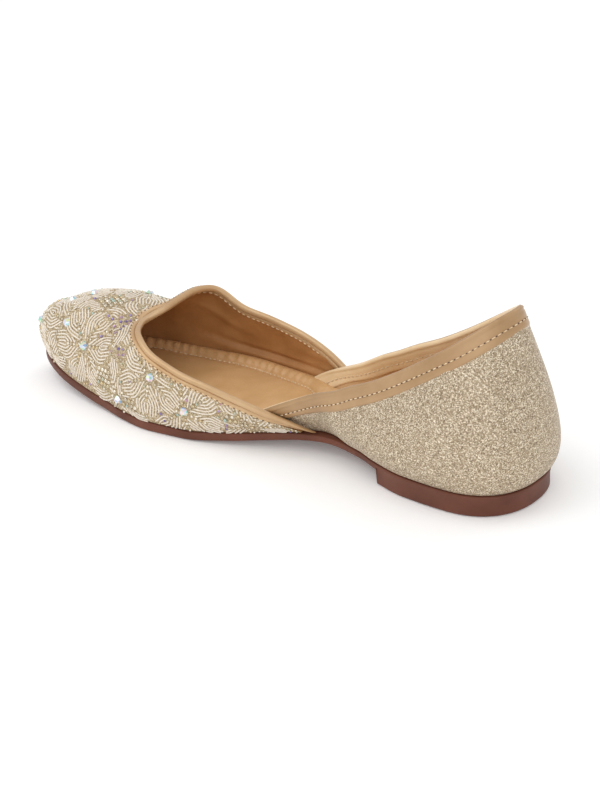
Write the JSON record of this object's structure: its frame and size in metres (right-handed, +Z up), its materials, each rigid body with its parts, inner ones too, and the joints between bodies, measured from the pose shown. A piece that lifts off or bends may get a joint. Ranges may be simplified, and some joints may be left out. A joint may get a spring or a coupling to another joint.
{
  "type": "mojari shoe",
  "caption": "Flat slip-on mojari for the right foot, with a beaded, thread-worked vamp, glitter quarter, leather bindings and low heel.",
  "frame": {"origin": "centre of the shoe's footprint, on the floor", "axes": "+X from heel to toe, +Y to the inner side of the foot, +Z up"},
  "size_m": [0.2604, 0.0766, 0.0802],
  "materials": {
    "outsole": "moulded brown rubber, satin",
    "insole": "soft tan leather over foam",
    "vamp": "champagne cloth with ivory thread work, beads and stones",
    "quarter": "champagne glitter cloth",
    "vamp_binding": "light gold leather, rolled edge",
    "quarter_binding": "gold leather, stitched"
  },
  "bodies": {
    "root": {"outsole": "outsole", "insole": "insole", "vamp": "vamp", "quarter": "quarter", "vamp_binding": "vamp_binding", "quarter_binding": "quarter_binding"}
  },
  "joints": []
}
